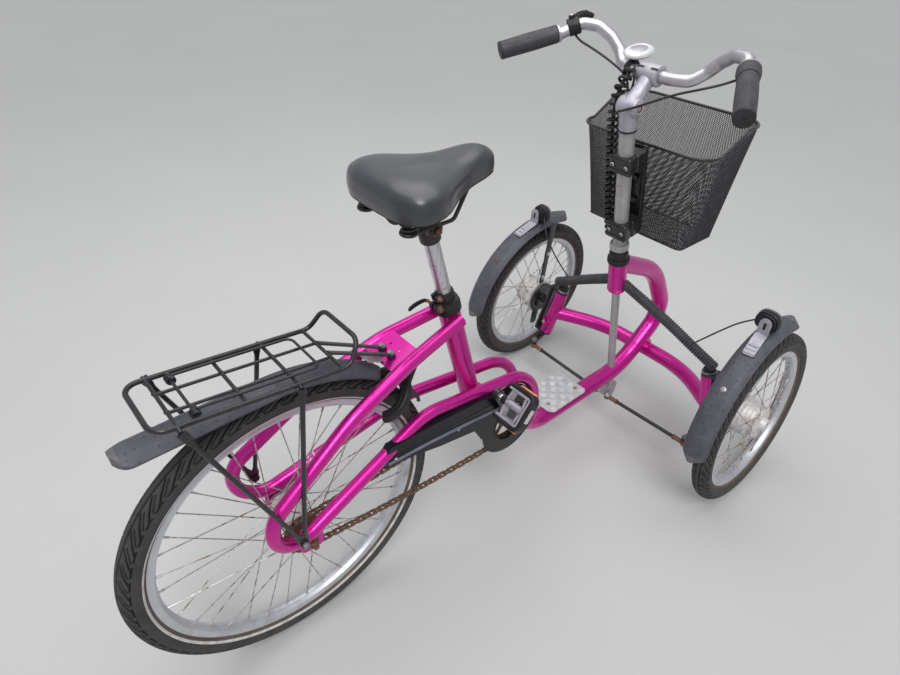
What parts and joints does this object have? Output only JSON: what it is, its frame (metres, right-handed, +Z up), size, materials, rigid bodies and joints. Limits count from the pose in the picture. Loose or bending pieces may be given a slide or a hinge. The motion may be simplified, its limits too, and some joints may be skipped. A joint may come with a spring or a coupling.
{
  "type": "upright tadpole tricycle",
  "caption": "Magenta upright adult tricycle with steered front wheels, a driven rear wheel, a front basket and a rear rack",
  "frame": {"origin": "centre of the bounding box on the ground, under the step", "axes": "+X forward, +Y to the rider's left, +Z up"},
  "size_m": [1.5463, 0.811, 1.034],
  "materials": {
    "frame_paint": "magenta metallic paint, glossy",
    "bright_alloy": "silver alloy, lightly worn",
    "drum_alloy": "pale cast alloy, dull",
    "black_metal": "black enamel, satin",
    "black_plastic": "black plastic",
    "guard_plastic": "dark grey plastic, scuffed",
    "saddle_vinyl": "black vinyl, satin",
    "grip_rubber": "dark grey rubber",
    "tyre_rubber": "black tyre rubber",
    "rusty_chain": "rusty steel chain"
  },
  "bodies": {
    "frame": {"seat_tube": "frame_paint", "loop_left": "frame_paint", "loop_right": "frame_paint", "bridge_plate": "frame_paint", "bottom_bracket": "frame_paint", "main_tube": "frame_paint", "head_tube": "frame_paint", "cross_tube": "frame_paint", "kingpin_tube_left": "frame_paint", "kingpin_tube_right": "frame_paint", "tread_plate": "bright_alloy", "seat_post": "bright_alloy", "seat_collar": "black_plastic", "saddle": "saddle_vinyl", "saddle_springs": "black_metal", "rear_fender": "guard_plastic", "rack": "black_metal", "rack_stays": "black_metal", "ring_lock": "black_plastic", "chain_case": "black_metal", "chain": "rusty_chain", "head_collar": "black_plastic", "conduit_left": "black_plastic", "conduit_right": "black_plastic", "rear_axle": "drum_alloy"},
    "clip": {"rack_clip": "black_metal"},
    "rear_wheel": {"rear_tyre": "tyre_rubber", "rear_rim": "bright_alloy", "rear_hub": "drum_alloy"},
    "crank": {"crank_set": "drum_alloy"},
    "pedal_left": {"pedal_left": "black_plastic"},
    "pedal_right": {"pedal_right": "black_plastic"},
    "steering": {"column": "bright_alloy", "stem": "bright_alloy", "handlebar": "bright_alloy", "grip_left": "grip_rubber", "grip_right": "grip_rubber", "bar_controls": "black_plastic", "bell": "black_plastic", "basket": "black_metal", "basket_carrier": "black_metal", "cable_coil": "black_plastic"},
    "knuckle_left": {"knuckle_left": "black_metal", "brake_plate_left": "black_metal", "fender_left": "guard_plastic", "lamp_bracket_left": "bright_alloy", "lamp_left": "black_plastic"},
    "wheel_left": {"tyre_left": "tyre_rubber", "rim_left": "bright_alloy", "hub_left": "drum_alloy"},
    "tie_rod_left": {"tie_rod_left": "black_metal"},
    "knuckle_right": {"knuckle_right": "black_metal", "brake_plate_right": "black_metal", "fender_right": "guard_plastic", "lamp_bracket_right": "bright_alloy", "lamp_right": "black_plastic"},
    "wheel_right": {"tyre_right": "tyre_rubber", "rim_right": "bright_alloy", "hub_right": "drum_alloy"},
    "tie_rod_right": {"tie_rod_right": "black_metal"}
  },
  "joints": [
    {"name": "rear_wheel_spin", "type": "hinge", "parent": "frame", "child": "rear_wheel", "pos_m": [-0.47275, 0, 0.3005], "axis": [0, 1, 0], "continuous": true},
    {"name": "crank_spin", "type": "hinge", "parent": "frame", "child": "crank", "pos_m": [0.02725, 0, 0.29], "axis": [0, 1, 0], "continuous": true},
    {"name": "pedal_left_spin", "type": "hinge", "parent": "crank", "child": "pedal_left", "pos_m": [0.09997, 0.13, 0.15881], "axis": [0, 1, 0], "continuous": true},
    {"name": "pedal_right_spin", "type": "hinge", "parent": "crank", "child": "pedal_right", "pos_m": [-0.04547, -0.13, 0.42119], "axis": [0, 1, 0], "continuous": true},
    {"name": "rack_clip_lift", "type": "hinge", "parent": "frame", "child": "clip", "pos_m": [-0.59975, 0, 0.66204], "axis": [0, -1, 0], "range_deg": [0, 70]},
    {"name": "steer", "type": "hinge", "parent": "frame", "child": "steering", "pos_m": [0.42688, 0, 0.45603], "axis": [-0.2147, 0, 0.9767], "range_deg": [-35, 35]},
    {"name": "knuckle_left_turn", "type": "hinge", "parent": "frame", "child": "knuckle_left", "pos_m": [0.53725, 0.25894, 0.20821], "axis": [0, -0.2334, 0.9724], "range_deg": [-17.5, 17.5]},
    {"name": "wheel_left_spin", "type": "hinge", "parent": "knuckle_left", "child": "wheel_left", "pos_m": [0.54875, 0.3645, 0.22403], "axis": [0, 0.9977, 0.068], "continuous": true},
    {"name": "knuckle_right_turn", "type": "hinge", "parent": "frame", "child": "knuckle_right", "pos_m": [0.53725, -0.25894, 0.20821], "axis": [0, 0.2334, 0.9724], "range_deg": [-17.5, 17.5]},
    {"name": "wheel_right_spin", "type": "hinge", "parent": "knuckle_right", "child": "wheel_right", "pos_m": [0.54875, -0.3645, 0.22403], "axis": [0, 0.9977, -0.068], "continuous": true},
    {"name": "tie_rod_left_turn", "type": "hinge", "parent": "steering", "child": "tie_rod_left", "pos_m": [0.46974, 0.02, 0.10273], "axis": [-0.2147, 0, 0.9767], "range_deg": [-40, 40]},
    {"name": "tie_rod_right_turn", "type": "hinge", "parent": "steering", "child": "tie_rod_right", "pos_m": [0.46974, -0.02, 0.10273], "axis": [-0.2147, 0, 0.9767], "range_deg": [-40, 40]}
  ],
  "couplings": [
    {"joint": "knuckle_left_turn", "follows": "steer", "ratio": 0.48},
    {"joint": "knuckle_right_turn", "follows": "steer", "ratio": 0.48},
    {"joint": "tie_rod_left_turn", "follows": "steer", "ratio": -1.08},
    {"joint": "tie_rod_right_turn", "follows": "steer", "ratio": -1.08}
  ]
}
